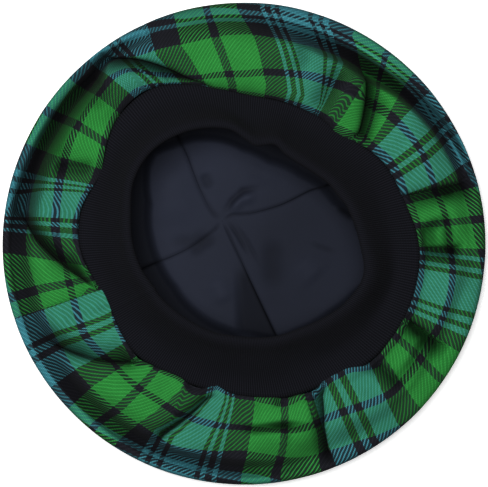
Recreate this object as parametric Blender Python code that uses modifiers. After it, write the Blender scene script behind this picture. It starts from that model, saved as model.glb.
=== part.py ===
"""A tam o' shanter of tartan cloth, with a ribbed knit headband and a four-gore lining.

It lies on the floor on its crown, open side up. Metres, +Z up, origin on the floor under the middle of the
rim. Azimuths are in degrees, anticlockwise from +X as seen from above. Tables are in millimetres.
"""

import math

import bmesh
import bpy
from mathutils import Vector

MM = 0.001

# Driving dimensions
RIM_RADIUS = 140.3 * MM
CROWN_RADIUS = 120.0 * MM
CROWN_CENTRE = Vector((-5.5 * MM, 6.5 * MM, 0.0))
LINING_CENTRE = Vector((-14.0 * MM, 12.5 * MM, 0.0))
CLOTH_THICKNESS = 1.4 * MM
KNIT_THICKNESS = 3.4 * MM
LINING_THICKNESS = 1.0 * MM
GAP = 0.3 * MM

# Where the four cloth panels are sewn to each other, and the four lining gores
PANEL_SEAMS = (17.0, 115.0, 198.0, 292.0)
LINING_SEAMS = (19.0, 114.0, 211.0, 297.0)

# The gathered seam that joins cloth, band and lining
SEAM_HEIGHT = 28.0 * MM
LIP_HEIGHT = 32.0 * MM
BAND_BASE_HEIGHT = 27.0 * MM
BAND_EDGE_HEIGHT = 57.0 * MM
LINING_EDGE_HEIGHT = 25.4 * MM
LINING_FLOOR_HEIGHT = 3.2 * MM

# Mesh densities
CLOTH_COLUMNS = 126
BAND_COLUMNS = 72
BAND_ROWS = 4
LINING_COLUMNS = 48
LINING_ROWS = 7
CROWN_SIDES = 72

# The hat's cross-section at even steps round it.
# rim: height of the widest point. shoulder: height of the cloth SHOULDER_INSET inside the rim.
# crest: height of the puffed cloth. seam: radius of the gathered seam. edge: radius of the band's free edge.
SHOULDER_INSET = 11.0 * MM
SECTION_COLUMNS = ("azimuth", "rim", "shoulder", "crest", "seam", "edge")
SECTIONS = (
    (0, 16, 26, 33, 100.5, 67.2),
    (15, 15, 28, 35, 95.4, 64.2),
    (30, 13, 30, 37, 92.6, 61.7),
    (45, 12, 31, 39, 86.2, 58.0),
    (60, 12, 31, 40, 84.6, 56.6),
    (75, 12, 31, 40, 84.6, 59.4),
    (90, 12, 31, 40, 86.0, 64.2),
    (105, 12, 31, 39, 94.0, 69.5),
    (120, 13, 30, 38, 103.0, 73.4),
    (135, 13, 29, 37, 102.0, 75.4),
    (150, 13, 29, 36, 95.5, 73.5),
    (165, 14, 28, 35, 95.0, 68.0),
    (180, 16, 26, 33, 94.5, 64.7),
    (195, 17, 25, 32, 89.0, 61.4),
    (210, 16, 25, 33, 87.0, 58.3),
    (225, 15, 26, 35, 88.5, 56.1),
    (240, 14, 27, 36, 86.5, 54.9),
    (255, 14, 28, 36, 86.0, 54.3),
    (270, 14, 27, 35, 87.5, 54.7),
    (285, 15, 26, 34, 91.0, 56.6),
    (300, 16, 25, 33, 93.0, 59.3),
    (315, 18, 25, 32, 98.2, 62.8),
    (330, 18, 25, 32, 101.1, 68.1),
    (345, 17, 25, 32, 101.8, 71.5),
)
SECTION_STEP = 360.0 / len(SECTIONS)

# Folds of the gathered cloth. inner and outer: azimuth of the valley at FOLD_INNER and FOLD_OUTER.
# start: share of the way from rim to band where it begins. lean: how far one side rolls over the valley,
# positive where the side of greater azimuth rolls.
FOLD_INNER = 90.0 * MM
FOLD_OUTER = 140.0 * MM
FOLD_COLUMNS = ("name", "inner", "outer", "start", "depth", "half_width", "lean")
FOLDS = (
    ("right_seam", 16.0, 15.0, 0.25, 8.0, 5.0, 0.0),
    ("upper_right", 43.5, 53.0, 0.15, 14.0, 6.0, 4.0),
    ("upper_left", 103.5, 129.0, 0.10, 12.0, 6.5, -4.0),
    ("left", 195.0, 168.0, 0.35, 8.0, 5.5, 3.0),
    ("lower_left", 229.5, 199.0, 0.38, 8.0, 5.5, -3.0),
    ("lower", 257.0, 239.0, 0.33, 8.0, 5.5, 3.0),
    ("lower_seam", 298.0, 290.5, 0.05, 8.0, 5.0, 1.5),
    ("lower_right_1", 318.0, 318.0, 0.60, 6.5, 5.0, 0.0),
    ("lower_right_2", 335.0, 336.0, 0.40, 7.5, 5.0, 0.0),
    ("right", 358.0, 359.0, 0.60, 6.5, 5.0, 0.0),
)
FOLD_MIDDLE = (FOLD_INNER + FOLD_OUTER) / 2
FOLD_FADE = 0.12

# Creases that run round the hat just inside the rim
CREASE_COLUMNS = ("name", "azimuth", "half_span", "radius", "depth", "half_width")
CREASES = (
    ("upper_right", 47.0, 34.0, 129.5, 5.0, 4.0),
    ("left", 150.0, 30.0, 128.5, 5.0, 4.0),
    ("lower_left", 257.0, 20.0, 134.0, 2.0, 3.0),
)

CLOTH_COLOUR = (0.03, 0.22, 0.06, 1.0)
KNIT_COLOUR = (0.006, 0.006, 0.008, 1.0)
LINING_COLOUR = (0.016, 0.019, 0.033, 1.0)


def smoothstep(low, high, value):
    share = min(1.0, max(0.0, (value - low) / (high - low)))
    return share * share * (3.0 - 2.0 * share)


def turn_between(azimuth, other):
    """The signed turn in degrees from other to azimuth, the short way round."""
    return (azimuth - other + 180.0) % 360.0 - 180.0


def spline(before, start, end, after, share):
    """A point on the smooth curve that runs from start to end."""
    a = 2.0 * start
    b = end - before
    c = 2.0 * before - 5.0 * start + 4.0 * end - after
    d = 3.0 * start - before - 3.0 * end + after
    return 0.5 * (a + b * share + c * share**2 + d * share**3)


def section(azimuth, column):
    """A section size at any azimuth, in metres."""
    index = SECTION_COLUMNS.index(column)
    step = azimuth % 360.0 / SECTION_STEP
    first = int(step)
    around = [SECTIONS[(first + k) % len(SECTIONS)][index] for k in (-1, 0, 1, 2)]
    return spline(*around, step - first) * MM


def along(points, place):
    """The point of a smooth path at a place counted in its points."""
    first = min(int(place), len(points) - 2)
    around = [points[min(max(first + k, 0), len(points) - 1)] for k in (-1, 0, 1, 2)]
    return spline(*around, place - first)


def polar(azimuth, radius, height):
    angle = math.radians(azimuth)
    return Vector((radius * math.cos(angle), radius * math.sin(angle), height))


def crown_edge_radius(azimuth):
    """Distance from the axis to the edge of the crown's round, which sits off the axis."""
    ray = polar(azimuth, 1.0, 0.0)
    ahead = CROWN_CENTRE.dot(ray)
    aside = CROWN_CENTRE.length_squared - ahead**2
    return ahead + math.sqrt(CROWN_RADIUS**2 - aside)


# Places along a cloth section, counted in the points of cloth_section
CLOTH_PLACES = (0, 1, 2, 3, 3.5, 4, 5, 5.5, 6, 6.5, 7, 7.5, 8, 9)


def cloth_section(azimuth):
    """The cloth's outer side as (radius, height) points, from the crown seam round the rim to the band."""
    rim = section(azimuth, "rim")
    shoulder = section(azimuth, "shoulder")
    crest = section(azimuth, "crest")
    seam = section(azimuth, "seam")
    shoulder_radius = RIM_RADIUS - SHOULDER_INSET
    inner_radius = seam + 8.0 * MM
    crest_radius = 0.55 * shoulder_radius + 0.45 * inner_radius
    return [
        Vector((crown_edge_radius(azimuth) + GAP, 0.0)),
        Vector((RIM_RADIUS - 7.5 * MM, 0.0)),
        Vector((RIM_RADIUS - 2.0 * MM, 0.45 * rim)),
        Vector((RIM_RADIUS, rim)),
        Vector((RIM_RADIUS - 3.0 * MM, 0.45 * rim + 0.55 * shoulder)),
        Vector((shoulder_radius, shoulder)),
        Vector((crest_radius, crest)),
        Vector((inner_radius, crest - 1.5 * MM)),
        Vector((seam + 0.4 * MM, LIP_HEIGHT)),
        Vector((seam + 0.4 * MM, SEAM_HEIGHT)),
    ]


def fold_line(inner, outer, radius):
    """Azimuth of a fold's valley at a radius."""
    return inner + (outer - inner) * (radius - FOLD_INNER) / (FOLD_OUTER - FOLD_INNER)


def thread_line(middle_azimuth, radius):
    """Azimuth at a radius of the thread that crosses FOLD_MIDDLE at middle_azimuth: threads run with the folds."""
    lines = [(fold_line(inner, outer, FOLD_MIDDLE), outer - inner) for _, inner, outer, *_ in FOLDS]
    before_azimuth, before_twist = max(lines, key=lambda line: (line[0] - middle_azimuth) % -360.0)
    after_azimuth, after_twist = min(lines, key=lambda line: (line[0] - middle_azimuth) % 360.0)
    gap = (after_azimuth - before_azimuth) % 360.0 or 360.0
    share = smoothstep(0.0, gap, (middle_azimuth - before_azimuth) % 360.0)
    twist = before_twist + (after_twist - before_twist) * share
    reach = min(radius, FOLD_OUTER) - FOLD_MIDDLE
    return middle_azimuth + twist * reach / (FOLD_OUTER - FOLD_INNER)


def fold_shift(azimuth, radius):
    """How far the folds lower the cloth, and how far they roll it round, both in metres."""
    seam = section(azimuth, "seam")
    share = (RIM_RADIUS - radius) / (RIM_RADIUS - seam)
    near_band = 1.0 - smoothstep(0.84, 0.99, share)
    drop = 0.0
    roll = 0.0
    for name, inner, outer, start, depth, half_width, lean in FOLDS:
        line = fold_line(inner, outer, radius)
        across = math.radians(turn_between(azimuth, line)) * radius / (half_width * MM)
        strength = smoothstep(start - FOLD_FADE, start + FOLD_FADE, share) * near_band
        drop += depth * MM * strength * math.exp(-(across**2))
        side = math.copysign(1.0, lean)
        roll -= lean * MM * strength * math.exp(-((across - side) ** 2) / 1.5)
    for name, middle, half_span, crease_radius, depth, half_width in CREASES:
        round_share = abs(turn_between(azimuth, middle)) / half_span
        across = (radius - crease_radius * MM) / (half_width * MM)
        drop += depth * MM * (1.0 - smoothstep(0.6, 1.0, round_share)) * math.exp(-(across**2))
    return drop, roll


def cloth_point(round_share, along_share):
    """A point of the cloth's outer side: round_share goes round the hat, along_share from crown to band."""
    place = CLOTH_PLACES[round(along_share * (len(CLOTH_PLACES) - 1))]
    middle_azimuth = 360.0 * round_share
    radius = along(cloth_section(middle_azimuth), place).x
    azimuth = thread_line(middle_azimuth, radius)
    radius, height = along(cloth_section(azimuth), place)
    if place <= 3:
        return polar(azimuth, radius, max(height, 0.0))
    drop, roll = fold_shift(azimuth, radius)
    return polar(azimuth + math.degrees(roll / radius), radius, height - drop)


def band_point(round_share, along_share):
    """A point of the band's middle layer: along_share goes from the sewn base to the free edge."""
    azimuth = 360.0 * round_share
    base = section(azimuth, "seam")
    edge = section(azimuth, "edge")
    inward = 1.35 * along_share - 0.35 * along_share**2
    upward = 0.35 * along_share + 0.65 * along_share**2
    height = BAND_BASE_HEIGHT + (BAND_EDGE_HEIGHT - BAND_BASE_HEIGHT) * upward
    return polar(azimuth, base + (edge - base) * inward, height)


def lining_point(round_share, along_share):
    """A point of the lining's visible side: along_share goes from its middle to the gathered seam."""
    azimuth = 360.0 * round_share
    edge = polar(azimuth, section(azimuth, "seam") - 2.0 * MM, 0.0)
    out = (0.0, 0.22, 0.44, 0.66, 0.82, 0.93, 0.985, 1.0)
    rise = (0.0, 0.04, 0.10, 0.14, 0.24, 0.45, 0.74, 1.0)
    row = round(along_share * LINING_ROWS)
    point = LINING_CENTRE.lerp(edge, out[row])
    point.z = LINING_FLOOR_HEIGHT + (LINING_EDGE_HEIGHT - LINING_FLOOR_HEIGHT) * rise[row]
    return point


def new_material(name, colour, roughness):
    material = bpy.data.materials.new(name)
    material.use_nodes = True
    shader = material.node_tree.nodes["Principled BSDF"]
    shader.inputs["Base Color"].default_value = colour
    shader.inputs["Roughness"].default_value = roughness
    shader.inputs["Metallic"].default_value = 0.0
    material.diffuse_color = colour
    return material


def add_object(name, mesh, collection, material):
    part = bpy.data.objects.new(name, mesh)
    mesh.materials.clear()
    mesh.materials.append(material)
    mesh.shade_smooth()
    collection.objects.link(part)
    return part


def ring_sheet(name, columns, rows, place):
    """An open sheet that goes once round the hat, with the normals of its grid."""
    bm = bmesh.new()
    bmesh.ops.create_grid(bm, x_segments=columns, y_segments=rows, size=0.5)
    for vertex in bm.verts:
        vertex.co = place(vertex.co.x + 0.5, vertex.co.y + 0.5)
    bmesh.ops.remove_doubles(bm, verts=bm.verts, dist=0.01 * MM)
    mesh = bpy.data.meshes.new(name)
    bm.to_mesh(mesh)
    bm.free()
    return mesh


def thicken(part, thickness, offset):
    wall = part.modifiers.new("wall", "SOLIDIFY")
    wall.thickness = thickness
    wall.offset = offset
    wall.use_even_offset = False
    return wall


def cut_away(bm, point, normal):
    """Removes what lies on the side that normal points to, and closes the wall where it was cut."""
    geometry = bm.verts[:] + bm.edges[:] + bm.faces[:]
    bmesh.ops.bisect_plane(
        bm, geom=geometry, dist=0.001 * MM, plane_co=point, plane_no=normal, clear_outer=True
    )
    open_edges = [edge for edge in bm.edges if edge.is_boundary]
    bmesh.ops.holes_fill(bm, edges=open_edges, sides=0)


def sector_mesh(name, whole, centre, first, last):
    """The part of a closed wall that lies between two vertical seams through centre."""
    bm = bmesh.new()
    bm.from_mesh(whole)
    for azimuth, side in ((first, 1.0), (last, -1.0)):
        ahead = polar(azimuth + 90.0 * side, 1.0, 0.0)
        cut_away(bm, centre + ahead * GAP / 2, -ahead)
    mesh = bpy.data.meshes.new(name)
    bm.to_mesh(mesh)
    bm.free()
    return mesh


def add_sectors(prefix, whole, centre, seams, collection, material):
    """One named piece for each sector between neighbouring seams."""
    for index, first in enumerate(seams):
        last = seams[(index + 1) % len(seams)]
        name = f"{prefix}_{index + 1}"
        add_object(name, sector_mesh(name, whole, centre, first, last), collection, material)


def thick_ring(name, columns, rows, place, thickness, offset, guides, material):
    """The closed wall of a ring sheet, from a guide that stays out of the model."""
    guide = add_object(name, ring_sheet(name, columns, rows, place), guides, material)
    guide.hide_render = True
    guide.display_type = "WIRE"
    thicken(guide, thickness, offset)
    bpy.context.view_layer.update()
    evaluated = guide.evaluated_get(bpy.context.evaluated_depsgraph_get())
    return bpy.data.meshes.new_from_object(evaluated)


def build_cloth(collection, guides):
    cloth = new_material("tartan_cloth", CLOTH_COLOUR, 0.9)
    rows = len(CLOTH_PLACES) - 1
    whole = thick_ring(
        "cloth_guide", CLOTH_COLUMNS, rows, cloth_point, CLOTH_THICKNESS, -1.0, guides, cloth
    )
    add_sectors("side_panel", whole, Vector(), PANEL_SEAMS, collection, cloth)


def build_crown(collection):
    bm = bmesh.new()
    bmesh.ops.create_circle(bm, cap_ends=True, segments=CROWN_SIDES, radius=CROWN_RADIUS)
    bmesh.ops.translate(bm, verts=bm.verts, vec=CROWN_CENTRE)
    mesh = bpy.data.meshes.new("crown_top")
    bm.to_mesh(mesh)
    bm.free()
    part = add_object("crown_top", mesh, collection, new_material("crown_cloth", CLOTH_COLOUR, 0.9))
    thicken(part, CLOTH_THICKNESS, 1.0)


def build_band(collection):
    mesh = ring_sheet("headband", BAND_COLUMNS, BAND_ROWS, band_point)
    part = add_object("headband", mesh, collection, new_material("black_knit", KNIT_COLOUR, 0.95))
    thicken(part, KNIT_THICKNESS, 0.0)
    soft_edge = part.modifiers.new("soft_edge", "BEVEL")
    soft_edge.width = 1.1 * MM
    soft_edge.segments = 1
    soft_edge.limit_method = "ANGLE"
    soft_edge.angle_limit = math.radians(55.0)


def build_lining(collection, guides):
    lining = new_material("dark_lining", LINING_COLOUR, 0.6)
    whole = thick_ring(
        "lining_guide", LINING_COLUMNS, LINING_ROWS, lining_point, LINING_THICKNESS, -1.0, guides, lining
    )
    add_sectors("lining_gore", whole, LINING_CENTRE, LINING_SEAMS, collection, lining)


def main():
    for old in list(bpy.data.objects):
        bpy.data.objects.remove(old)
    hat = bpy.data.collections.new("tam_o_shanter")
    guides = bpy.data.collections.new("guides")
    for collection in (hat, guides):
        bpy.context.scene.collection.children.link(collection)
    build_crown(hat)
    build_cloth(hat, guides)
    build_band(hat)
    build_lining(hat, guides)


main()
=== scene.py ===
"""The looks of a tartan tam o' shanter that lies on its crown, open side up.

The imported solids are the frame. Every piece here rides on them in the same place: four tartan panels
gathered into a ribbed knit headband, a tartan crown and a dark lining of four gores. Metres, +Z up.
Azimuths are in degrees, anticlockwise from +X as seen from above. Tables of the form are in millimetres.
"""

import math
from collections import namedtuple

import bpy
import numpy as np
from bpy.props import FloatProperty, FloatVectorProperty, IntProperty, PointerProperty
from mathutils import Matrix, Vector


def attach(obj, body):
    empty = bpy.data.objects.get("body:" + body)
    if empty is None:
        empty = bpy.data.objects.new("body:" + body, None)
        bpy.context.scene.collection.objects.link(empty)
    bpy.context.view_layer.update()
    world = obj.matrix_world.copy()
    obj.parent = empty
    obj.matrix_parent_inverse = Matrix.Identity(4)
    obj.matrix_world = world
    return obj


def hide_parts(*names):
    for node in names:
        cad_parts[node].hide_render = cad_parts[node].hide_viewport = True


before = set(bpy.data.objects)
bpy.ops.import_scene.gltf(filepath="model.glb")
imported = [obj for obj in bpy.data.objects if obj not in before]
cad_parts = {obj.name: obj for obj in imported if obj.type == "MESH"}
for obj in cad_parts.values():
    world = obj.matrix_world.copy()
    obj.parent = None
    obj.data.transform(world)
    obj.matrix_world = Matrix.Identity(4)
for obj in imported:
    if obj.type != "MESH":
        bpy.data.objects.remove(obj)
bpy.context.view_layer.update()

bl_info = {
    "name": "Tam o' shanter",
    "version": (1, 0, 0),
    "blender": (4, 5, 0),
    "location": "3D View > Sidebar > Tam",
    "description": "Dresses the solids of a tam o' shanter in tartan cloth, ribbed knit and lining",
    "category": "Object",
}

MM = 0.001


def table(columns, *rows):
    """Rows of values under named columns."""
    row_kind = namedtuple("Row", columns)
    return tuple(row_kind(*row) for row in rows)


# The hat's cross-section at even steps round it.
# rim: height of the widest point. shoulder: height of the cloth SHOULDER_INSET inside the rim.
# crest: height of the puffed cloth. seam: radius of the gathered seam. edge: radius of the band's free edge.
RIM_RADIUS = 140.3 * MM
CROWN_RADIUS = 120.0 * MM
CROWN_CENTRE = (-5.5 * MM, 6.5 * MM)
SHOULDER_INSET = 11.0 * MM
SEAM_HEIGHT = 28.0 * MM
LIP_HEIGHT = 32.0 * MM
SECTIONS = table(
    "azimuth rim shoulder crest seam edge",
    (0, 16, 26, 33, 100.5, 67.2),
    (15, 15, 28, 35, 95.4, 64.2),
    (30, 13, 30, 37, 92.6, 61.7),
    (45, 12, 31, 39, 86.2, 58.0),
    (60, 12, 31, 40, 84.6, 56.6),
    (75, 12, 31, 40, 84.6, 59.4),
    (90, 12, 31, 40, 86.0, 64.2),
    (105, 12, 31, 39, 94.0, 69.5),
    (120, 13, 30, 38, 103.0, 73.4),
    (135, 13, 29, 37, 102.0, 75.4),
    (150, 13, 29, 36, 95.5, 73.5),
    (165, 14, 28, 35, 95.0, 68.0),
    (180, 16, 26, 33, 94.5, 64.7),
    (195, 17, 25, 32, 89.0, 61.4),
    (210, 16, 25, 33, 87.0, 58.3),
    (225, 15, 26, 35, 88.5, 56.1),
    (240, 14, 27, 36, 86.5, 54.9),
    (255, 14, 28, 36, 86.0, 54.3),
    (270, 14, 27, 35, 87.5, 54.7),
    (285, 15, 26, 34, 91.0, 56.6),
    (300, 16, 25, 33, 93.0, 59.3),
    (315, 18, 25, 32, 98.2, 62.8),
    (330, 18, 25, 32, 101.1, 68.1),
    (345, 17, 25, 32, 101.8, 71.5),
)

# The other points of the cloth's section. An inset is from the rim. A share is of the rim's height below the
# rim, and of the way up to the shoulder above it. The crest lies CREST_SHARE of the way from the shoulder to
# the point INNER_RUN outside the seam, where the cloth is INNER_DROP lower.
CROWN_GAP = 0.2 * MM
UNDERSIDE_INSET = 7.5 * MM
BELOW_RIM_INSET = 2.0 * MM
BELOW_RIM_SHARE = 0.45
ABOVE_RIM_INSET = 2.2 * MM
ABOVE_RIM_SHARE = 0.62
CREST_SHARE = 0.45
INNER_RUN = 8.0 * MM
INNER_DROP = 1.5 * MM
BAND_GAP = 0.4 * MM

# Places along the section, counted in its points, and the mesh's rows between them
RIM_PLACE = 3
RIM_FADE = 0.5
LIP_PLACE = 8
CLOTH_ROWS = ((0, 3, 16), (3, 5, 40), (5, 8, 62), (8, 9, 6))

# A panel's mesh columns crowd at its seams, where its edge sinks a little
COLUMN_CROWDING = 0.6
PANEL_GAP = 0.01 * MM
PANEL_SEAM_DEPTH = 0.7 * MM
PANEL_SEAM_WIDTH = 1.3 * MM

# The crown's round
CROWN_RINGS = 24
CROWN_SIDES = 180
CROWN_INSET = 0.1 * MM
CROWN_MERGE = 0.01 * MM

# Folds of the gathered cloth. inner, middle and outer: azimuth of the fold's edge at FOLD_RADII.
# start: share of the way from rim to band where it begins. depth: the valley's, which grows outwards.
# under and over: width of the slope beneath the fold's edge, and of the round of the edge itself.
# lap: how far the edge rolls over the valley, positive where the side of greater azimuth does.
# shade_under and shade_over: how far the fold's painted shade reaches on the two sides.
FOLD_RADII = (90.0 * MM, 115.0 * MM, 140.0 * MM)
FOLDS = table(
    "name inner middle outer start depth under over lap shade_under shade_over",
    ("right_seam", 16.0, 15.5, 15.0, 0.14, 8.0, 8.0, 4.5, 2.5, 13.0, 2.5),
    ("upper_right", 42.8, 51.8, 62.0, 0.28, 15.0, 12.0, 4.5, 4.5, 13.0, 3.5),
    ("upper_dip", 62.5, 61.0, 60.0, 0.46, 5.0, 7.0, 6.0, 0.0, 8.0, 5.0),
    ("upper_left", 103.5, 116.3, 129.0, 0.10, 12.0, 11.0, 3.5, -6.0, 16.0, 3.0),
    ("left_dip", 152.0, 158.0, 163.0, 0.52, 5.0, 6.0, 5.0, 0.0, 7.0, 5.0),
    ("left", 195.0, 181.5, 168.0, 0.16, 12.0, 11.0, 4.0, 4.5, 15.0, 2.5),
    ("lower_left", 229.5, 214.3, 199.0, 0.22, 12.0, 6.0, 8.0, -4.0, 4.5, 9.5),
    ("lower", 257.0, 248.5, 241.0, 0.30, 9.0, 10.0, 4.0, 5.0, 10.0, 2.5),
    ("lower_seam", 299.0, 293.5, 291.0, 0.13, 9.0, 10.0, 3.5, 5.5, 11.0, 2.0),
    ("lower_right_1", 318.0, 318.0, 318.0, 0.45, 6.0, 7.0, 5.0, 2.0, 10.0, 3.0),
    ("lower_right_2", 336.0, 334.0, 331.0, 0.28, 8.0, 9.0, 4.0, 3.5, 13.0, 3.0),
    ("right", 358.0, 358.5, 359.0, 0.40, 8.0, 9.0, 5.0, 2.5, 12.0, 3.0),
)
FOLD_FADE = 0.12
FOLD_ROUND = 1.4
FOLD_NARROWEST = 0.55
FOLD_WIDENING = 0.75
FOLD_DEEPENING = 0.55
LAP_WIDTH = 4.0
FAR_SLOPE = 18.0
FAR_SHARE = 0.25
FOLD_END = (0.86, 0.99)
FOLD_END_LOSS = 0.7
LOWEST_FOLD = 4.0 * MM
# Painted shade in the folds: the depth that gets the darkest, where it fades beneath an edge in shares of
# shade_under, and its limits
DEEPEST = 12.0
SHADE_UNDER = (0.2, 1.2)
FOLD_SHADE = 0.85
CLOTH_SHADES = (-0.5, 1.0)

# Between the stiff rim and the puffed cloth a groove runs round. groove: its depth below the rim's flat
# edge. flange: how much lower that flat edge lies than the plain section. floor and reach: from the groove's
# outer lip in to the foot and to the top of the slope up to the puff. dark: the painted shade there, for how
# little light gets in.
GROOVE_COLUMNS = "azimuth radius groove flange floor reach dark"
GROOVES = (
    table(
        GROOVE_COLUMNS,
        (8, 139.0, 0, 0, 2, 8, 0.0), (18, 138.0, 3, 3, 4, 11, 0.35), (24, 137.5, 4, 6, 5, 12, 0.65),
        (31, 136.0, 6, 9, 5, 12, 0.8), (42, 132.5, 6, 13, 5, 12, 0.9), (50, 129.7, 7, 15, 6, 13, 1.0),
        (58, 128.6, 6, 14, 5, 13, 0.9), (67, 128.0, 5, 10, 4, 13, 0.8), (78, 129.0, 3, 6, 3, 13, 0.6),
        (94, 131.0, 1, 3, 2, 10, 0.3), (108, 133.0, 0, 0, 2, 8, 0.0),
    ),
    table(
        GROOVE_COLUMNS,
        (112, 134.0, 0, 0, 3, 8, 0.0), (121, 135.0, 3, 4, 2, 6, 0.5), (127, 136.0, 5, 6, 2, 6, 0.8),
        (132, 133.6, 7, 10, 3, 15, 1.0),
        (142, 133.2, 7, 11, 3, 18, 1.0), (152, 133.6, 7, 11, 3, 18, 1.0), (162, 134.4, 6, 9, 4, 18, 0.95),
        (172, 135.0, 4, 6, 4, 16, 0.75), (184, 135.0, 2, 3, 3, 13, 0.5), (196, 134.5, 2, 3, 3, 12, 0.45),
        (210, 134.0, 2, 3, 3, 12, 0.5), (222, 133.6, 3, 4, 4, 12, 0.6), (240, 133.5, 4, 5, 5, 12, 0.7),
        (250, 134.5, 4, 5, 5, 12, 0.65), (260, 133.4, 3, 4, 5, 11, 0.5), (272, 134.5, 3, 4, 4, 11, 0.4),
        (288, 135.0, 0, 0, 3, 8, 0.0),
    ),
)
GROOVE_LIP = 1.1
FLANGE_ROUND = 0.7
SHADE_START = 0.5
SHADE_REACH = 1.2

# Soft creases of the cloth: path in mm as seen from above, half width, rise and painted shade, which is a
# painted highlight where it is below zero. Over PATH_FADE of its length at each end a crease fades to
# PATH_END.
PATH_FADE = 0.35
PATH_END = 0.1
CREASE_COLUMNS = "path half_width rise dark"
CLOTH_CREASES = table(
    CREASE_COLUMNS,
    (((-6.0, -104.6), (6.3, -106.6), (22.9, -104.3), (45.0, -105.4)), 2.4, -4.2, 0.75),
    (((18.0, -86.0), (20.5, -95.0)), 3.0, -2.0, 0.5),
    (((12.0, -106.0), (25.0, -105.0), (26.0, -122.0)), 2.4, -1.5, 0.3),
    (((95.0, -43.5), (104.0, -53.4)), 3.4, -2.5, 0.5),
    (((98.5, 6.0), (107.0, 9.5), (116.0, 13.6)), 3.0, -3.2, 0.65),
    (((101.0, 2.0), (112.0, 6.0)), 4.0, -1.5, 0.45),
    (((115.0, 22.0), (117.0, 8.0), (120.6, -9.0)), 2.8, -2.6, 0.5),
    (((107.5, -49.0), (101.0, -61.0), (96.5, -69.0), (88.0, -79.0)), 3.2, -2.8, 0.5),
    (((112.0, 29.0), (121.0, 33.0)), 4.0, -1.5, 0.35),
    (((-102.0, 58.0), (-108.0, 40.0)), 4.0, -1.5, 0.3),
    (((-74.0, 92.0), (-88.0, 74.0)), 4.0, -1.5, 0.35),
    (((-98.0, -62.0), (-84.0, -64.0), (-72.0, -72.0)), 4.0, 2.2, -0.15),
    (((28.0, 96.0), (34.0, 106.0), (32.0, 116.0)), 4.0, -1.8, 0.35),
    (((72.0, 76.0), (84.0, 82.0)), 4.0, -1.5, 0.3),
    # The last four are the lit crease lines along the rim, drawn with a painted highlight.
    (((44.0, 124.5), (60.0, 117.5), (72.5, 110.5), (94.3, 92.3), (107.0, 79.8)), 1.0, 0.8, -0.45),
    (((110.0, 75.5), (116.0, 68.7), (121.5, 57.8), (126.9, 47.0), (130.0, 38.0)), 1.0, 0.8, -0.45),
    (((-68.0, -115.0), (-54.0, -123.0), (-41.0, -128.5), (-31.0, -129.5)), 1.0, 0.8, -0.35),
    (((-110.0, 80.0), (-122.0, 60.0), (-131.0, 36.0)), 1.6, 0.6, -0.35),
)

# Where the cloth's gathered edge stands over the band, or draws back from it. This grows between the places
# of EDGE_RISE, and EDGE_TUCK of it is lost again where the cloth turns down to the seam.
EDGE_RISE = (LIP_PLACE - 1.6, LIP_PLACE - 0.2)
EDGE_TUCK = 0.8
EDGES = table(
    "azimuth half_turn reach",
    (50, 5, 2.7), (127, 8, -3.5), (155, 8, 3.5), (172, 6, -2.0), (202, 8, 3.0), (227, 3, -5.0),
    (243, 5, 1.3), (251, 3, -4.0), (260, 4, 3.5), (286, 3, -2.5), (294, 3, -5.0), (304, 6, 3.0),
    (310, 4, 2.5), (318, 4, -3.0),
)

# Waves of soft unevenness in the cloth. turns: whole waves round the hat. across: waves along WAVE_RUN of
# radius. Then the fine gathers beside the band, as whole waves round the hat that drift to and fro.
WAVE_RUN = 0.1
WAVES = table(
    "turns across height start",
    (11, 1.3, 0.45, 0.3),
    (17, -2.1, 0.35, 1.9),
    (26, 3.4, 0.22, 4.1),
    (7, -4.2, 0.35, 2.6),
    (41, 1.0, 0.12, 0.9),
)
GATHERS = (61, 97)
GATHER_HEIGHT = 0.22 * MM
GATHER_REACH = 9.0 * MM
GATHER_DRIFT = 3.0
GATHER_DRIFT_TURNS = 5.0

# The tartan: threads of each stripe in one repeat, in the order in which they are wound
THREAD = 0.76 * MM
WEAVE_PITCH = 0.69 * MM
WEAVE_RADIUS = 120.0 * MM
SETT = (
    ("blue", 22), ("black", 4), ("blue", 4), ("black", 4), ("blue", 22), ("black", 20),
    ("green", 24), ("black", 6), ("green", 24), ("black", 20),
    ("blue", 4), ("black", 4), ("blue", 4), ("black", 4), ("blue", 24), ("black", 4),
    ("blue", 4), ("black", 4), ("blue", 4), ("black", 20),
    ("green", 24), ("black", 6), ("green", 24), ("black", 20),
)
REPEAT = sum(count for colour, count in SETT)
LINE_THREAD = 103.0
STEEP_SHARE = 0.5
UV_THREADS = 100.0
BLACK_LIMIT = 0.06
LINE_HALF_WIDTH = 0.9
NAP_BY_BLACK = 0.13
NAP = 0.4
# Painted light: weft floats this bright, warp floats as much above one, as the light catches the fibres' two
# directions
WEFT_LIGHT = 0.86

# The twill: threads until it repeats, where among them the warp lies on top and where a float's middle is.
# Then its relief and its light. Each noise is a scale, a detail and a roughness.
TWILL = 4.0
WARP_OVER = 1.5
FLOAT_MIDDLE = 1.5
TWILL_RELIEF = 0.16 * MM
THREAD_ROUND = 2.4
THREAD_BOW = 1.6
BETWEEN_THREADS = 0.42
FIBRES = (2600.0, 3.0, 0.6)
FIBRE_HEIGHT = 0.5
SWAY = (170.0, 2.0, 0.5)
SWAY_THREADS = 0.9
# An uneven tone at random, which also stands in for the soft shade of the cloth's small puckers
MOTTLE = (55.0, 5.0, 0.66)
MOTTLE_LEAST = 0.81
MOTTLE_RANGE = 0.38

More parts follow.
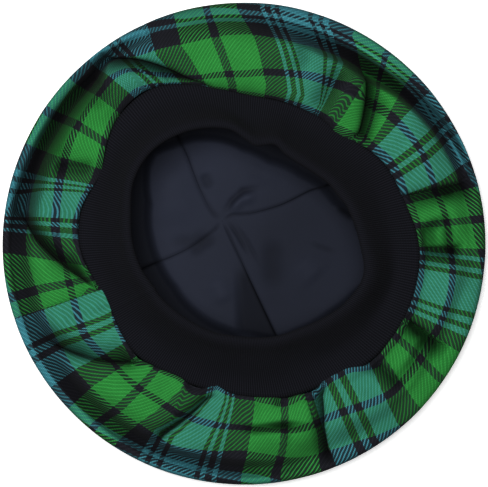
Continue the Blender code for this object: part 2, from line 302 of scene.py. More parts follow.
# Where the threads run on each panel: azimuth of a thread at the three THREAD_RADII, which are near the
# band, in the middle and near the rim
PANEL_SEAMS = (17.0, 115.0, 198.0, 292.0)
THREAD_RADII = (91.0 * MM, 118.0 * MM, 136.0 * MM)
THREAD_COLUMNS = "thread rim middle band"
THREADS = (
    table(
        THREAD_COLUMNS,
        (0, 20.0, 17.6, 16.6), (22, 27.0, 24.6, 22.4), (34, 32.0, 30.3, 28.2), (56, 39.2, 38.5, 36.0),
        (76, 45.0, 43.0, 38.0), (100, 52.0, 48.5, 40.0), (106, 53.6, 49.7, 40.8),
        (130, 62.6, 53.3, 52.0), (150, 69.0, 61.0, 60.0), (166, 74.2, 67.3, 61.6),
        (190, 81.2, 76.2, 67.2), (206, 86.0, 81.3, 74.0), (226, 91.7, 87.2, 82.0),
        (250, 98.0, 96.2, 92.3), (256, 99.7, 98.8, 95.5), (280, 107.0, 107.5, 103.0),
        (300, 114.0, 115.0, 110.0),
    ),
    table(
        THREAD_COLUMNS,
        (0, 115.0, 115.0, 110.0), (22, 121.0, 119.6, 114.5), (34, 124.0, 122.5, 118.5),
        (56, 130.0, 128.3, 125.5), (76, 136.5, 134.8, 132.8), (100, 144.7, 143.0, 142.3),
        (106, 147.0, 145.7, 144.8), (130, 155.3, 154.9, 152.4), (150, 161.8, 161.4, 158.6),
        (166, 167.8, 165.0, 161.6), (190, 173.2, 172.3, 171.0), (206, 177.0, 177.5, 178.5),
        (226, 182.3, 184.0, 188.0), (250, 191.5, 191.0, 191.7), (256, 194.0, 193.5, 193.7),
        (267, 198.0, 198.0, 198.0),
    ),
    table(
        THREAD_COLUMNS,
        (0, 198.3, 198.3, 198.0), (22, 205.0, 205.0, 207.0), (26, 206.0, 206.0, 208.3),
        (30, 208.0, 208.0, 210.6), (34, 209.5, 209.6, 212.2), (56, 216.6, 216.7, 219.5),
        (76, 223.2, 223.3, 226.0), (100, 229.5, 231.2, 233.4), (106, 231.4, 233.9, 236.0),
        (130, 237.4, 239.8, 246.5), (150, 243.8, 244.4, 256.0), (166, 249.5, 250.0, 257.8),
        (190, 257.6, 258.5, 262.5), (206, 263.3, 264.2, 266.3), (226, 269.2, 271.0, 273.8),
        (250, 276.0, 279.6, 283.0), (256, 278.6, 281.8, 286.0), (280, 288.8, 291.0, 292.0),
        (300, 292.0, 294.0, 296.0),
    ),
    table(
        THREAD_COLUMNS,
        (0, 292.5, 293.0, 294.5), (22, 298.3, 299.0, 300.5), (26, 300.0, 300.8, 302.6),
        (30, 302.2, 303.3, 305.3), (34, 304.0, 305.3, 307.6), (56, 310.4, 312.6, 318.0),
        (76, 317.0, 318.8, 322.8), (100, 324.3, 325.7, 328.0), (106, 326.3, 328.1, 330.5),
        (130, 333.3, 334.4, 335.6), (150, 337.2, 337.2, 337.8), (166, 343.0, 342.3, 342.6),
        (190, 351.0, 351.3, 351.8), (206, 356.7, 357.2, 358.0), (226, 358.6, 358.7, 359.0),
        (250, 364.7, 364.7, 364.7), (256, 366.7, 366.7, 366.7), (280, 373.7, 373.6, 373.5),
        (300, 378.0, 377.7, 377.0),
    ),
)

# Where the tartan's rows run round the hat. line: radius of the black line in the green. field, flange and
# rim: threads from that line out to field_radius, to flange_radius and to the rim. lip: threads from the
# line in to the gathered edge, which is LIP_RUN before the cloth's end.
LIP_RUN = 3.0 * MM
ROWS = table(
    "azimuth line field_radius field flange_radius flange rim lip",
    (0, 118.6, 128.8, 17, 134.0, 27, 35.5, 34.5),
    (15, 113.6, 129.5, 27, 135.5, 45, 53, 33.5),
    (30, 113.2, 126.8, 27, 134.5, 55, 63, 38.0),
    (45, 108.8, 124.8, 27, 135.9, 63, 69, 35.0),
    (60, 103.8, 122.2, 27, 134.0, 63, 72, 33.5),
    (75, 99.8, 118.2, 27, 134.4, 63, 71, 32.0),
    (90, 95.2, 119.2, 27, 134.0, 59, 66.5, 32.5),
    (105, 97.0, 118.3, 27, 133.5, 55, 62.5, 32.5),
    (117, 107.0, 122.2, 27, 134.8, 49, 55.5, 33.0),
    (120, 112.0, 123.0, 27, 135.4, 47.5, 54, 33.0),
    (123, 119.0, 128.5, 27, 136.0, 46, 52.5, 33.0),
    (127, 120.8, 132.0, 27, 136.5, 45, 51.5, 33.0),
    (135, 118.4, 126.8, 27, 135.3, 47, 52.5, 33.0),
    (150, 114.2, 125.9, 27, 133.4, 47, 53.5, 35.0),
    (165, 108.8, 127.0, 27, 134.6, 47, 52, 34.5),
    (180, 105.5, 126.4, 27, 135.0, 38, 45, 35.0),
    (195, 102.0, 120.9, 27, 135.5, 47, 52, 27.5),
    (210, 104.6, 121.7, 27, 136.2, 47, 51.5, 29.0),
    (225, 101.3, 119.9, 27, 134.9, 47, 52.5, 31.0),
    (240, 101.4, 119.0, 27, 134.5, 51, 58.5, 32.0),
    (250, 103.8, 123.1, 27, 133.9, 51, 59, 32.0),
    (257, 104.4, 121.0, 27, 134.0, 51, 58.5, 32.0),
    (270, 105.0, 118.0, 27, 132.9, 47, 55, 31.0),
    (277, 107.6, 121.8, 27, 136.2, 47, 51.5, 32.0),
    (285, 110.4, 128.0, 27, 135.5, 37, 43.5, 33.0),
    (300, 110.6, 131.5, 27, 136.5, 32.5, 37, 33.0),
    (315, 120.2, 129.9, 13, 136.6, 22, 27, 33.0),
    (330, 120.6, 129.7, 11, 136.0, 17.5, 22, 34.5),
    (345, 121.6, 130.4, 12, 136.0, 19, 24, 32.5),
)
ROW_SMOOTHING = (1.0, 2.0, 3.0, 4.0, 3.0, 2.0, 1.0)

# The knit band. Its free edge rolls over and is thicker there.
BAND_HALF_THICKNESS = 1.7 * MM
BAND_BASE_HEIGHT = 27.0 * MM
BAND_EDGE_HEIGHT = 57.0 * MM
BAND_ROLL = 4.0 * MM
BAND_ROLL_START = 0.8
BAND_EDGE_SWELL = 0.35
BAND_SEAM = 206.5
BAND_SEAM_HALF_TURN = 1.1
BAND_SEAM_HEIGHT = 0.5 * MM
# How the band runs in and up from the seam: its share, and its share squared, of the whole way
BAND_INWARD = (1.35, -0.35)
BAND_UPWARD = (0.35, 0.65)
BAND_STEP = 0.01
BAND_WAVES = table(
    "turns lean height start",
    (9, 3.0, 0.5, 0.0),
    (16, -4.0, 0.35, 1.3),
)
# Its mesh: columns of a rib, and rows of each side and of the folded edge
RIB_COLUMNS = 5
BAND_SIDE_ROWS = 17
BAND_CAP_ROWS = 6
BAND_MERGE = 0.002 * MM
# The knit: the round of a rib, its stitches, and their relief and light
RIB_ROUND = 0.8
STITCHES_A_ROW = 1.6
CHEVRON = 1.1
LOOP_HEIGHT = 3.0
LOOP_LIGHT = 0.4
BETWEEN_LOOPS = 0.6
RIB_SHADE = 1.15
YARN = (2200.0, 3.0, 0.6)
YARN_HEIGHT = 0.7
KNIT_RELIEF = 0.15 * MM
# Where the band sags or bulges: middle and half width in azimuth and in share of its width, and its rise
BAND_FORMS = table(
    "azimuth half_turn share half_width rise",
    (345, 22, 0.80, 0.13, 1.6), (345, 24, 0.44, 0.17, -3.2), (172, 30, 0.55, 0.22, 2.2),
    (128, 16, 0.35, 0.2, -1.6), (90, 12, 0.6, 0.2, -2.0), (60, 14, 0.62, 0.2, 1.4),
    (228, 14, 0.4, 0.22, -1.5), (268, 24, 0.55, 0.22, 1.8), (310, 14, 0.4, 0.2, -1.6),
    (20, 14, 0.6, 0.2, 1.2),
)
# Where the free edge stands further in, in mm
BAND_CURLS = table(
    "azimuth half_turn reach",
    (84, 6, 4.5),
    (91, 4, 1.5),
    (72, 4, -1.5),
    (28, 5, 0.8),
    (203, 6, 0.7),
    (252, 7, -0.6),
    (303, 8, 0.8),
)

# The lining: where its four seams leave its middle, and how it rises to the gathered seam
LINING_CENTRE = (-12.7 * MM, 13.1 * MM)
LINING_SEAMS = (19.0, 117.9, 209.6, 295.2)
LINING_EDGE_HEIGHT = 25.4 * MM
LINING_EDGE_INSET = 2.0 * MM
LINING_FLOOR_HEIGHT = 3.2 * MM
LINING_OUT = (0.0, 0.16, 0.32, 0.48, 0.64, 0.80, 0.93, 1.0)
LINING_RISE = (0.0, 0.02, 0.05, 0.07, 0.10, 0.22, 0.52, 1.0)

# Its mesh, and the steps that find where a seam meets the band
SEARCH_STEPS = 40
GORE_COLUMNS = 100
GORE_ROWS = 120
GORE_MERGE = 0.001 * MM
# Its sewn seams lie lower than the gores, from a little way out, with a little painted shade along them
GORE_SEAM_DEPTH = 0.5 * MM
GORE_SEAM_WIDTH = 1.2 * MM
GORE_SEAM_START = 6.0 * MM
GORE_SEAM_SHADE = 0.25

# How far each seam bows to its left, in mm, at even steps from the middle. Places among the bows stop
# BOW_STOP short of their count, and LEAST_AWAY keeps the middle itself off zero.
BOW_STOP = 1.001
LEAST_AWAY = 1e-9
LINING_BOW_STEP = 6.0 * MM
LINING_BOWS = (
    (0.0, 1.6, 0.2, -1.1, -1.7, -2.0, -2.0, -1.4, -0.5, 0.3, 0.4, 0.2, 0.0),
    (0.0, 2.4, 3.0, 2.9, 2.5, 1.9, 1.2, 0.4, 0.1, 0.0, 0.0, 0.0, 0.0),
    (0.0, 2.1, 3.1, 3.7, 3.9, 3.7, 3.2, 2.4, 1.5, 0.8, 0.3, 0.0, 0.0),
    (0.0, 0.0, 0.0, 0.0, 0.0, 0.0, 0.0, 0.0, 0.0, 0.0, 0.0, 0.0, 0.0),
)

# The lining's raised part, as its outline in azimuth and in mm from the hat's axis. Beyond it lies painted
# shade.
LINING_PLATEAU = table(
    "azimuth radius",
    (8, 67.5), (14, 67.5), (24, 58.0), (36, 56.0), (50, 52.0), (73, 50.5), (91, 55.5), (101, 61.0),
    (115, 67.5), (126, 70.5), (135, 74.5), (141, 72.0), (157, 60.0), (177, 54.0), (192, 50.5),
    (212, 47.5), (234, 48.5), (256, 50.5), (275, 53.0), (289, 58.5), (302, 59.5), (321, 64.0),
    (336, 70.5), (345, 76.5), (356, 73.0),
)
PLATEAU_HEIGHT = 4.5 * MM
PLATEAU_SLOPE = (-3.0 * MM, 4.0 * MM)
PLATEAU_SHADE = 0.62

# Creases of the lining, with their painted shade, or painted highlight where it is below zero
LINING_CREASES = table(
    CREASE_COLUMNS,
    (((-12.0, 17.0), (-7.0, 25.0), (-0.5, 30.8), (11.0, 33.2)), 1.9, -1.3, 0.42),
    (((-9.0, 18.0), (-2.0, 25.5), (9.0, 29.0)), 3.2, 2.0, -0.16),
    (((-10.5, 14.5), (-3.5, 4.5), (3.5, -8.0)), 1.3, -0.8, 0.26),
    (((-6.5, 13.5), (2.0, 1.0), (10.0, -13.0)), 1.5, -0.6, 0.18),
    (((17.6, 5.0), (16.2, -10.9), (17.6, -30.0)), 6.0, -1.4, 0.24),
    (((-24.0, 42.0), (-19.8, 31.0)), 3.2, -1.3, 0.3),
    (((-32.0, -8.0), (-24.0, -1.0), (-15.0, 4.5)), 3.0, -1.2, 0.28),
    (((-46.0, 2.0), (-30.0, 1.0), (-18.0, 7.0)), 4.0, -0.8, 0.25),
    (((38.0, 0.5), (55.0, -5.4)), 1.4, -0.4, 0.16),
    (((54.0, 23.0), (66.0, 14.0)), 2.6, -1.5, 0.55),
    (((-42.0, 52.0), (-39.0, 6.0)), 14.0, 2.5, -0.22),
    (((30.0, -8.0), (44.0, -22.0)), 9.0, 1.6, -0.1),
    (((-18.0, -18.0), (-10.0, -36.0)), 6.0, 1.6, -0.1),
    (((-2.0, 46.0), (22.0, 36.0)), 5.0, 1.0, 0.0),
)
# The gore at the lower left is slack to the right of this line, and painted darker there with shade
SLACK_GORE = 2
SLACK_LINE = (-7.0 * MM, 0.5 * MM)
SLACK_FROM = (-8.0 * MM, -22.0 * MM)
SLACK_END = (0.8, 1.0)
SLACK_DROP = 1.8 * MM
SLACK_SHADE = 0.42
# Painted shade: the light is painted falling off to the right
LINING_FALL = 0.34
LINING_FALL_REACH = (-45.0 * MM, 35.0 * MM)
LINING_FALL_LEAN = 0.4
LINING_SHADE = 0.85
LINING_SHADES = (-0.3, 1.0)
# Its weave and tone
CLOUDS = (24.0, 4.0, 0.6)
CLOUD_TONE = 0.36
FILAMENTS = (3200.0, 2.0, 0.5)
FILAMENT_TONE = 0.14
LINING_TONE = 0.76
LEAST_ROUGHNESS = 0.62
ROUGHNESS_RANGE = 0.14
LINING_RELIEF = 0.05 * MM

# The picture: the camera looks straight down at the rim, which is this many pixels from the middle. The
# floor's grain is a noise's scale and detail, and its roughness the least and the range above it.
PICTURE_WIDTH = 488
RIM_PIXELS = 241.0
RIM_HEIGHT = 15.0 * MM
SENSOR_WIDTH = 36.0
PICTURE_GAMMA = 0.75
FLOOR_SIZE = 8.0
FLOOR_GRAIN = (60.0, 3.0)
FLOOR_ROUGHNESS = (0.8, 0.1)

# The key light stands a little to the upper left of the camera
KEY_DIRECTION = (-0.11, 0.10, 1.0)
KEY_DISTANCE = 1.3
KEY_SIZE = 0.75


class ClothSettings(bpy.types.PropertyGroup):
    thickness: FloatProperty(
        name="Cloth thickness", description="Thickness of the tartan cloth", default=1.2 * MM, unit="LENGTH"
    )
    green: FloatVectorProperty(
        name="Green", description="Colour of green threads", default=(0.046, 0.250, 0.065), subtype="COLOR"
    )
    blue: FloatVectorProperty(
        name="Blue", description="Colour of blue threads", default=(0.071, 0.236, 0.275), subtype="COLOR"
    )
    black: FloatVectorProperty(
        name="Black", description="Colour of black threads", default=(0.026, 0.027, 0.034), subtype="COLOR"
    )
    columns: IntProperty(name="Columns", description="Mesh columns of one panel", default=260)


class BandSettings(bpy.types.PropertyGroup):
    ribs: IntProperty(name="Ribs", description="Knit ribs round the band", default=400)
    relief: FloatProperty(name="Rib relief", description="Height of a rib", default=0.4 * MM, unit="LENGTH")
    colour: FloatVectorProperty(
        name="Knit", description="Colour of the yarn", default=(0.0275, 0.0285, 0.0375), subtype="COLOR"
    )


class LiningSettings(bpy.types.PropertyGroup):
    thickness: FloatProperty(
        name="Lining thickness", description="Thickness of the lining", default=0.8 * MM, unit="LENGTH"
    )
    colour: FloatVectorProperty(
        name="Lining", description="Colour of the lining", default=(0.0390, 0.0446, 0.0661), subtype="COLOR"
    )


class StageSettings(bpy.types.PropertyGroup):
    camera_height: FloatProperty(
        name="Camera height", description="Height of the camera over the floor", default=1.1, unit="LENGTH"
    )
    key_power: FloatProperty(name="Key light", description="Power of the key light in watts", default=20.9)
    fill: FloatProperty(name="Fill light", description="Strength of the light from all round", default=0.1)
    floor: FloatVectorProperty(
        name="Floor", description="Colour of the floor", default=(0.98, 0.98, 0.98), subtype="COLOR"
    )
    floor_glow: FloatProperty(
        name="Floor glow", description="Light of the floor itself, as of a white table", default=0.35
    )


# The hat's form


def smoothstep(low, high, value):
    share = np.clip((value - low) / (high - low), 0.0, 1.0)
    return share * share * (3.0 - 2.0 * share)


def bell(distance, half_width):
    """One at no distance, falling off softly to both sides."""
    return np.exp(-((distance / half_width) ** 2))


def turn_between(azimuth, other):
    """The signed turn in degrees from other to azimuth, the short way round."""
    return (azimuth - other + 180.0) % 360.0 - 180.0


def plan(radius, azimuth):
    """X and Y of points at a radius and an azimuth."""
    angle = np.radians(azimuth)
    return radius * np.cos(angle), radius * np.sin(angle)


def spline(before, start, end, after, share):
    """Points on the smooth curves that run from start to end."""
    b = end - before
    c = 2.0 * before - 5.0 * start + 4.0 * end - after
    d = 3.0 * start - before - 3.0 * end + after
    return 0.5 * (2.0 * start + b * share + c * share**2 + d * share**3)


def along(points, places):
    """Smooth paths through points (point, column), read at places counted in their points."""
    first = np.minimum(places.astype(int), len(points) - 2)
    around = [points[np.clip(first + k, 0, len(points) - 1)] for k in (-1, 0, 1, 2)]
    return spline(*around, (places - first)[:, None])


def section(azimuth, name):
    """A column of the sections at any azimuths, in metres and smoothly round the hat."""
    values = np.array([getattr(row, name) for row in SECTIONS], float)
    step = np.asarray(azimuth, float) % 360.0 / (360.0 / len(values))
    first = step.astype(int)
    around = [values[(first + k) % len(values)] for k in (-1, 0, 1, 2)]
    return spline(*around, step - first) * MM


def column_at(rows, name, azimuth, **ends):
    """A column of a table at any azimuths, on straight lines between its rows."""
    azimuths = [row.azimuth for row in rows]
    return np.interp(azimuth, azimuths, [getattr(row, name) for row in rows], **ends)


def crown_edge_radius(azimuth):
    """Distance from the axis to the edge of the crown's round, which sits off the axis."""
    angle = np.radians(azimuth)
    ahead = CROWN_CENTRE[0] * np.cos(angle) + CROWN_CENTRE[1] * np.sin(angle)
    aside = CROWN_CENTRE[0] ** 2 + CROWN_CENTRE[1] ** 2 - ahead**2
    return ahead + np.sqrt(CROWN_RADIUS**2 - aside)


def cloth_section(azimuth):
    """Radius and height of the cloth's outer side at its section points, from crown seam to band."""
    rim, shoulder, crest, seam = (section(azimuth, name) for name in ("rim", "shoulder", "crest", "seam"))
    whole = np.ones_like(rim)
    shoulder_radius = RIM_RADIUS - SHOULDER_INSET
    inner_radius = seam + INNER_RUN
    to_shoulder = (1.0 - ABOVE_RIM_SHARE) * rim + ABOVE_RIM_SHARE * shoulder
    points = (
        (crown_edge_radius(azimuth) + CROWN_GAP, 0.0 * whole),
        ((RIM_RADIUS - UNDERSIDE_INSET) * whole, 0.0 * whole),
        ((RIM_RADIUS - BELOW_RIM_INSET) * whole, BELOW_RIM_SHARE * rim),
        (RIM_RADIUS * whole, rim),
        ((RIM_RADIUS - ABOVE_RIM_INSET) * whole, to_shoulder),
        (shoulder_radius * whole, shoulder),
        ((1.0 - CREST_SHARE) * shoulder_radius + CREST_SHARE * inner_radius, crest),
        (inner_radius, crest - INNER_DROP),
        (seam + BAND_GAP, LIP_HEIGHT * whole),
        (seam + BAND_GAP, SEAM_HEIGHT * whole),
    )
    return np.array([radius for radius, height in points]), np.array([height for radius, height in points])


def cloth_places():
    """Places along a cloth section, counted in its points, closest where the folds are."""
    runs = [np.linspace(start, end, count, endpoint=False) for start, end, count in CLOTH_ROWS]
    return np.concatenate(runs + [np.array([float(CLOTH_ROWS[-1][1])])])


def fold_shift(azimuth, radius):
    """How far the folds lower the cloth and roll it round, in metres, and the painted shade they put on it.
    """
    share = (RIM_RADIUS - radius) / (RIM_RADIUS - section(azimuth, "seam"))
    near_band = 1.0 - FOLD_END_LOSS * smoothstep(*FOLD_END, share)
    narrow = FOLD_NARROWEST + FOLD_WIDENING * (1.0 - share)
    deepen = 1.0 + FOLD_DEEPENING * (1.0 - share)
    drop, roll, hollow = (np.zeros_like(radius) for _ in range(3))
    for fold in FOLDS:
        line = np.interp(radius, FOLD_RADII, (fold.inner, fold.middle, fold.outer))
        side = math.copysign(1.0, fold.lap)
        from_line = side * np.radians(turn_between(azimuth, line)) * radius / MM - 0.5 * abs(fold.lap)
        width = np.where(from_line > 0.0, fold.over, fold.under * narrow)
        strength = smoothstep(fold.start - FOLD_FADE, fold.start + FOLD_FADE, share) * near_band
        valley = np.exp(-((np.abs(from_line) / width) ** FOLD_ROUND))
        full, none = (reach * fold.shade_under for reach in SHADE_UNDER)
        beneath = 1.0 - smoothstep(full, none, -from_line)
        shaded = np.where(from_line > 0.0, bell(from_line, fold.shade_over), beneath)
        far = np.exp(-np.abs(from_line) / FAR_SLOPE)
        drop += fold.depth * MM * strength * deepen * ((1.0 - FAR_SHARE) * valley + FAR_SHARE * far)
        roll -= fold.lap * MM * strength * bell(from_line - LAP_WIDTH, LAP_WIDTH)
        hollow = np.maximum(hollow, strength * shaded * np.minimum(fold.depth * deepen / DEEPEST, 1.0))
    return drop, roll, hollow


def groove_drop(azimuth, radius):
    """How low the grooves inside the rim and the flat edge outside them lie, and the painted shade in them.
    """
    turn = azimuth % 360.0
    drop, hollow = (np.zeros_like(radius) for _ in range(2))
    for rows in GROOVES:
        line, floor, reach = (column_at(rows, name, turn) * MM for name in ("radius", "floor", "reach"))
        groove, flange, dark = (
            column_at(rows, name, turn, left=0.0, right=0.0) for name in ("groove", "flange", "dark")
        )
        groove = groove * MM
        flange = flange * MM
        inside = 1.0 - smoothstep(floor, reach, line - radius)
        shaded = 1.0 - smoothstep(SHADE_START * floor, SHADE_REACH * reach, line - radius)
        outside = np.clip((RIM_RADIUS - radius) / (RIM_RADIUS - line), 0.0, 1.0) ** FLANGE_ROUND
        lip = np.exp(-((np.maximum(radius - line, 0.0) / (GROOVE_LIP * MM)) ** FOLD_ROUND))
        drop += np.where(radius < line, (groove + flange) * inside, flange * outside + groove * lip)
        hollow += dark * np.where(radius < line, shaded, lip)
    return drop, hollow


def near_path(x, y, path, half_width):
    """One along a path of straight runs in mm, fading to its sides and its ends."""
    nearest = np.full_like(x, np.inf)
    place = np.zeros_like(x)
    for number, ((x0, y0), (x1, y1)) in enumerate(zip(path[:-1], path[1:])):
        dx, dy = x1 - x0, y1 - y0
        share = np.clip(((x / MM - x0) * dx + (y / MM - y0) * dy) / (dx * dx + dy * dy), 0.0, 1.0)
        distance = np.hypot(x / MM - x0 - share * dx, y / MM - y0 - share * dy)
        place = np.where(distance < nearest, (number + share) / (len(path) - 1), place)
        nearest = np.minimum(nearest, distance)
    ends = smoothstep(0.0, PATH_FADE, place) * smoothstep(1.0, 1.0 - PATH_FADE, place)
    return bell(nearest, half_width) * (PATH_END + (1.0 - PATH_END) * ends)


def creases(x, y, rows):
    """How far a table's creases raise the cloth, and how much painted shade they put on it, or painted
    highlight where it is below zero.
    """
    rise, dark = (np.zeros_like(x) for _ in range(2))
    for crease in rows:
        near = near_path(x, y, crease.path, crease.half_width)
        rise += crease.rise * MM * near
        dark += crease.dark * near
    return rise, dark


def waves(azimuth, radius):
    """The soft unevenness of the cloth, and its fine gathers beside the band."""
    turn = np.radians(azimuth)
    height = np.zeros_like(radius)
    for wave in WAVES:
        outwards = 2.0 * math.pi * wave.across * radius / WAVE_RUN
        height += wave.height * MM * np.sin(wave.turns * turn + outwards + wave.start)
    from_band = np.maximum(radius - section(azimuth, "seam"), 0.0)
    gathers = sum(
        np.sin(count * turn + GATHER_DRIFT * np.sin(GATHER_DRIFT_TURNS * turn + count)) for count in GATHERS
    )
    return height + GATHER_HEIGHT * gathers * np.exp(-from_band / GATHER_REACH)


def edge_reach(azimuth):
    """How far the cloth's gathered edge stands in over the band."""
    return sum(edge.reach * MM * bell(turn_between(azimuth, edge.azimuth), edge.half_turn) for edge in EDGES)


def cloth_surface(azimuths):
    """The cloth's outer side: azimuth, radius, height, length along it and painted shade, each (row,
    column).

    The length is counted inwards from the rim, and is negative under it. The last value is the rim's row.
    """
    places = cloth_places()
    radius_points, height_points = cloth_section(azimuths)
    radius = along(radius_points, places)
    height = along(height_points, places)
    azimuth = np.broadcast_to(azimuths, radius.shape)
    over_rim = smoothstep(RIM_PLACE, RIM_PLACE + RIM_FADE, places)[:, None]
    to_edge = smoothstep(*EDGE_RISE, places)
    past_edge = smoothstep(LIP_PLACE, LIP_PLACE + 1, places)
    radius = radius - edge_reach(azimuth) * (to_edge - EDGE_TUCK * past_edge)[:, None]
    drop, roll, fold_painted_shade = fold_shift(azimuth, radius)
    lower, groove_painted_shade = groove_drop(azimuth, radius)
    crease_rise, crease_dark = creases(*plan(radius, azimuth), CLOTH_CREASES)
    drop = drop + lower - waves(azimuth, radius) - crease_rise
    hollow = np.clip(np.maximum(fold_painted_shade, groove_painted_shade) + crease_dark, *CLOTH_SHADES) * over_rim
    floor = np.where(places > LIP_PLACE - 0.5, SEAM_HEIGHT, LOWEST_FOLD)[:, None]
    height = np.maximum(height - drop * over_rim, np.minimum(height, floor))
    steps = np.hypot(np.diff(radius, axis=0), np.diff(height, axis=0))
    length = np.concatenate([np.zeros((1, len(azimuths))), np.cumsum(steps, axis=0)])
    rim_row = int(np.searchsorted(places, RIM_PLACE))
    length = length - length[rim_row]
    azimuth = azimuth + np.degrees(roll * over_rim / radius)
    return azimuth, radius, height, length, hollow, rim_row


def thread_round(panel, azimuth, radius):
    """The thread of a panel that crosses each point, counted from the panel's first seam."""
    rows = THREADS[panel]
    threads = np.array([row.thread for row in rows], float)
    out = radius.ravel()
    lines = np.array([np.interp(out, THREAD_RADII, (row.band, row.middle, row.rim)) for row in rows])
    where = azimuth.ravel()
    after = np.clip((lines <= where).sum(axis=0), 1, len(threads) - 1)
    column = np.arange(len(where))
    low, high = lines[after - 1, column], lines[after, column]
    share = (where - low) / (high - low)
    found = threads[after - 1] + share * (threads[after] - threads[after - 1])
    return found.reshape(azimuth.shape)


def row_value(name, azimuth):
    """A column of the rows' table at any azimuths, with its corners smoothed."""
    turns = np.arange(360.0)
    values = column_at(ROWS, name, turns, period=360.0)
    reach = len(ROW_SMOOTHING) // 2
    weighted = [weight * np.roll(values, shift - reach) for shift, weight in enumerate(ROW_SMOOTHING)]
    return np.interp(azimuth, turns, sum(weighted) / sum(ROW_SMOOTHING), period=360.0)


def thread_along(azimuth, radius, length, rim_row):
    """The tartan row that crosses each point, in threads from the black line in the green, outwards.

    Outside the field's edge the rows spread as seen from above, plus STEEP_SHARE of the way along the cloth.
    """
    line, field_radius, field, flange_radius, flange, rim, lip = (
        row_value(name, azimuth) for name in ROWS[0]._fields[1:]
    )
    found = np.empty_like(radius)
    for column in range(radius.shape[1]):
        inward = radius[rim_row:, column][::-1]
        order = np.argsort(inward, kind="stable")
        path = (inward[order], length[rim_row:, column][::-1][order])
        edges = [place[:, column] * MM for place in (line, field_radius, flange_radius)]
        at_line, at_field, at_flange = (np.interp(edge, *path) for edge in edges)
        at = length[:, column]
        at_seam = length[-1, column] - LIP_RUN
        seen = RIM_RADIUS - radius[:, column] + STEEP_SHARE * at
        seen_field = RIM_RADIUS - edges[1] + STEEP_SHARE * at_field
        seen_flange = RIM_RADIUS - edges[2] + STEEP_SHARE * at_flange
        at_rim, on_flange, in_field = rim[:, column], flange[:, column], field[:, column]
        under = at_rim - at / THREAD
        outer = at_rim + (on_flange - at_rim) * seen / seen_flange
        groove = in_field + (on_flange - in_field) * (seen_field - seen) / (seen_field - seen_flange)
        middle = in_field * (at_line - at) / (at_line - at_field)
        inner = lip[:, column] * (at_line - at) / (at_seam - at_line)
        zones = [at <= 0.0, seen <= seen_flange, seen <= seen_field, at <= at_line]
        found[:, column] = np.select(zones, [under, outer, groove, middle], inner)
    return found


# Meshes and pieces


def start_clean():
    """Nothing selected, so that an operator works on the new piece alone."""
    if bpy.context.object and bpy.context.object.mode != "OBJECT":
        bpy.ops.object.mode_set(mode="OBJECT")
    bpy.ops.object.select_all(action="DESELECT")


def select_only(piece):
    start_clean()
    piece.select_set(True)
    bpy.context.view_layer.objects.active = piece


def grid_sheet(name, columns, rows):
    """A grid primitive, with each vertex's place in it as column and row numbers."""
    start_clean()
    bpy.ops.mesh.primitive_grid_add(x_subdivisions=columns, y_subdivisions=rows, size=1.0)
    piece = bpy.context.object
    piece.name = name
    piece.data.name = name
    flat = np.empty(len(piece.data.vertices) * 3, np.float32)
    piece.data.vertices.foreach_get("co", flat)
    flat = flat.reshape(-1, 3)
    column = np.rint((flat[:, 0] + 0.5) * columns).astype(int)
    row = np.rint((flat[:, 1] + 0.5) * rows).astype(int)
    return piece, column, row


def place_vertices(piece, x, y, height):
    points = np.stack([x, y, height], axis=-1)
    piece.data.vertices.foreach_set("co", np.ascontiguousarray(points, np.float32).ravel())
    piece.data.update()


def write_maps(piece, maps):
    """The piece's UV maps by name, each from two values a vertex. Other maps go."""
    corners = np.empty(len(piece.data.loops), np.int32)
    piece.data.loops.foreach_get("vertex_index", corners)
    for name, (across, down) in maps.items():
        layer = piece.data.uv_layers.new(name=name)
        pairs = np.stack([across[corners], down[corners]], axis=1).astype(np.float32)
        layer.uv.foreach_set("vector", pairs.ravel())
    for name in [layer.name for layer in piece.data.uv_layers if layer.name not in maps]:
        piece.data.uv_layers.remove(piece.data.uv_layers[name])


def write_shade(piece, hollow):
    """The painted shade of each vertex, which darkens the material there; below zero it is a painted
    highlight.
    """
    layer = piece.data.attributes.new("hollow", "FLOAT", "POINT")
    layer.data.foreach_set("value", np.ascontiguousarray(hollow, np.float32))


def thicken(piece, thickness):
    """A wall inwards from an open sheet, as a modifier that is applied at once."""
    select_only(piece)
    bpy.ops.object.modifier_add(type="SOLIDIFY")
    wall = piece.modifiers[-1]
    wall.thickness = thickness
    wall.offset = -1.0
    bpy.ops.object.modifier_apply(modifier=wall.name)


def merge_and_face_out(piece, distance):
    """Joins the sheet's meeting edges, and turns every face outwards."""
    select_only(piece)
    bpy.ops.object.mode_set(mode="EDIT")
    bpy.ops.mesh.select_all(action="SELECT")
    bpy.ops.mesh.remove_doubles(threshold=distance)
    bpy.ops.mesh.select_all(action="SELECT")
    bpy.ops.mesh.normals_make_consistent(inside=False)
    bpy.ops.object.mode_set(mode="OBJECT")


def finish_piece(piece, node, material):
    """Smooth, dressed, riding on the hat and standing for its solid."""
    select_only(piece)
    bpy.ops.object.shade_smooth()
    piece.data.materials.clear()
    piece.data.materials.append(material)
    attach(piece, "root")
    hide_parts(node)


# Materials


class Value:
    """A value that changes over the surface. Sums and products of it are Math nodes of its material."""

    def __init__(self, recipe, socket):
        self.recipe = recipe
        self.socket = socket

    def __add__(self, other):
        return self.recipe.math("ADD", self, other)

    def __sub__(self, other):
        return self.recipe.math("SUBTRACT", self, other)

    def __rsub__(self, other):
        return self.recipe.math("SUBTRACT", other, self)

    def __mul__(self, other):
        return self.recipe.math("MULTIPLY", self, other)

    def __truediv__(self, other):
        return self.recipe.math("DIVIDE", self, other)

    def __mod__(self, other):
        return self.recipe.math("FLOORED_MODULO", self, other)

    def __lt__(self, other):
        return self.recipe.math("LESS_THAN", self, other)

    def __gt__(self, other):
        return self.recipe.math("GREATER_THAN", self, other)

    def __abs__(self):
        return self.recipe.math("ABSOLUTE", self)

    def whole(self):
        return self.recipe.math("FLOOR", self)

    def rest(self):
        return self.recipe.math("FRACT", self)


